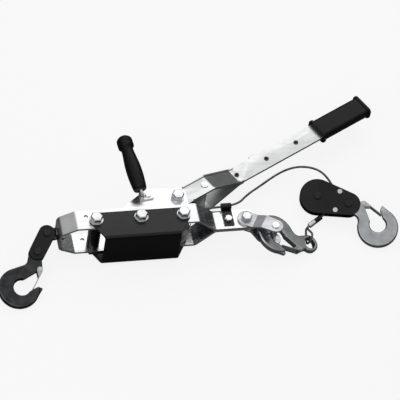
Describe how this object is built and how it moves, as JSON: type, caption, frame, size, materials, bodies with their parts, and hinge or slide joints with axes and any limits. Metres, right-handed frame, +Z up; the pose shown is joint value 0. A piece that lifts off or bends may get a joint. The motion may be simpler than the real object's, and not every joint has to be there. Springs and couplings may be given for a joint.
{
  "type": "come along winch",
  "caption": "Hand cable puller: flat steel frame with ratchet drum, forked pumping lever, guard cover, side grip, swivel hook, cable hook on anchor arms and snatch block with hook",
  "frame": {"origin": "Middle of the footprint of everything but the free rope and its ferrules, at the level the winch lies on", "axes": "+X runs along the frame from the swivel hook towards the block hook, +Y points away from the guard cover towards the lever, +Z is up, square to the frame plates"},
  "size_m": [0.899, 0.4814, 0.1584],
  "materials": {
    "zinc_frame": "bright zinc plate, slightly brushed",
    "zinc_fastener": "zinc plate, satin",
    "zinc_anchor": "zinc plate, dull",
    "hook_steel": "forged, zinc plated, dark grey satin",
    "latch_steel": "spring steel, satin",
    "black_paint": "black paint, half gloss",
    "black_grip": "black moulded grip, matte",
    "rope_steel": "galvanised wire rope",
    "ferrule_zinc": "pressed aluminium ferrule",
    "sheave_steel": "turned steel, satin"
  },
  "bodies": {
    "frame": {"frame_strap": "zinc_frame", "guard_cover": "black_paint", "frame_bolts": "zinc_fastener", "frame_nuts": "zinc_fastener", "frame_washers": "zinc_fastener", "axle_bolt": "zinc_fastener", "axle_nut": "zinc_fastener", "axle_washers": "zinc_fastener", "spacer_barrel": "black_paint", "spacer_sleeves": "zinc_fastener", "thrust_washers": "zinc_fastener", "handle_bracket": "zinc_frame", "handle_rivet": "zinc_fastener", "handle_grip": "black_grip", "rope_guide": "black_paint", "guide_bolt": "zinc_fastener", "guide_nut": "zinc_fastener", "anchor_bolt": "zinc_fastener", "anchor_nut": "zinc_fastener", "rope_span": "rope_steel", "rope_eye": "rope_steel", "ferrule_black": "black_paint", "ferrule_steel": "ferrule_zinc", "block_plate_upper": "black_paint", "block_plate_lower": "black_paint", "block_pins": "zinc_fastener", "block_spacers": "zinc_fastener"},
    "drum": {"drum_barrel": "zinc_anchor", "ratchet_gear_lower": "zinc_anchor", "ratchet_gear_upper": "zinc_anchor", "rope_inner_layers": "rope_steel", "rope_winding": "rope_steel"},
    "lever": {"lever_strap_upper": "zinc_frame", "lever_strap_lower": "zinc_frame", "lever_rivets": "zinc_fastener", "lever_grip": "black_grip", "drive_pawl_pin": "zinc_fastener"},
    "drive_pawl": {"drive_pawl": "zinc_anchor"},
    "stop_pawl": {"stop_pawl": "zinc_anchor", "pawl_spring": "latch_steel"},
    "swivel": {"swivel_shank": "hook_steel", "swivel_nut": "zinc_fastener"},
    "links": {"link_plate_upper": "black_paint", "link_plate_lower": "black_paint", "link_pins": "zinc_fastener"},
    "frame_hook": {"frame_hook": "hook_steel", "frame_latch_pin": "zinc_fastener"},
    "frame_latch": {"frame_latch": "latch_steel"},
    "anchor": {"anchor_arm_upper": "zinc_anchor", "anchor_arm_lower": "zinc_anchor", "anchor_pin": "zinc_fastener"},
    "cable_hook": {"cable_hook": "hook_steel", "cable_latch_pin": "zinc_fastener"},
    "cable_latch": {"cable_latch": "latch_steel"},
    "sheave": {"sheave": "sheave_steel"},
    "block_hook": {"block_hook": "hook_steel", "block_latch_pin": "zinc_fastener"},
    "block_latch": {"block_latch": "latch_steel"}
  },
  "joints": [
    {"name": "lever_swing", "type": "hinge", "parent": "frame", "child": "lever", "pos_m": [-0.04092, -0.04105, 0.0585], "axis": [0, 0, 1], "range_deg": [-12, 100]},
    {"name": "drum_spin", "type": "hinge", "parent": "frame", "child": "drum", "pos_m": [-0.04092, -0.04105, 0.0585], "axis": [0, 0, 1], "continuous": true},
    {"name": "drive_pawl_tilt", "type": "hinge", "parent": "lever", "child": "drive_pawl", "pos_m": [0.02587, -0.00479, 0.0585], "axis": [0, 0, 1], "range_deg": [-1, 6]},
    {"name": "stop_pawl_lift", "type": "hinge", "parent": "frame", "child": "stop_pawl", "pos_m": [-0.03692, -0.09105, 0.0585], "axis": [0, 0, 1], "range_deg": [0, 25]},
    {"name": "swivel_spin", "type": "hinge", "parent": "frame", "child": "swivel", "pos_m": [-0.33142, -0.08605, 0.0585], "axis": [1, 0, 0], "continuous": true},
    {"name": "links_swing", "type": "hinge", "parent": "swivel", "child": "links", "pos_m": [-0.33142, -0.08605, 0.0585], "axis": [0, -0.3252, 0.9456], "range_deg": [-65, 10]},
    {"name": "frame_hook_swing", "type": "hinge", "parent": "links", "child": "frame_hook", "pos_m": [-0.35685, -0.12455, 0.04526], "axis": [0, -0.3252, 0.9456], "range_deg": [-60, 50]},
    {"name": "frame_latch_open", "type": "hinge", "parent": "frame_hook", "child": "frame_latch", "pos_m": [-0.35568, -0.16204, 0.03237], "axis": [0, -0.3252, 0.9456], "range_deg": [-28, 0]},
    {"name": "anchor_swing", "type": "hinge", "parent": "frame", "child": "anchor", "pos_m": [0.10608, -0.08905, 0.0685], "axis": [0, 0, 1], "range_deg": [0, 2]},
    {"name": "cable_hook_swing", "type": "hinge", "parent": "anchor", "child": "cable_hook", "pos_m": [0.16265, -0.12305, 0.0469], "axis": [0, 0, 1], "range_deg": [0, 3]},
    {"name": "cable_latch_open", "type": "hinge", "parent": "cable_hook", "child": "cable_latch", "pos_m": [0.21658, -0.14545, 0.02117], "axis": [0.363, -0.1768, 0.9149], "range_deg": [-10, 0]},
    {"name": "sheave_spin", "type": "hinge", "parent": "frame", "child": "sheave", "pos_m": [0.28408, -0.01505, 0.03539], "axis": [-0.1464, -0.3448, 0.9272], "continuous": true},
    {"name": "block_hook_swing", "type": "hinge", "parent": "frame", "child": "block_hook", "pos_m": [0.34852, -0.04241, 0.03539], "axis": [-0.1464, -0.3448, 0.9272], "range_deg": [-20, 70]},
    {"name": "block_latch_open", "type": "hinge", "parent": "block_hook", "child": "block_latch", "pos_m": [0.38133, -0.04689, 0.0389], "axis": [-0.1464, -0.3448, 0.9272], "range_deg": [-28, 0]}
  ]
}
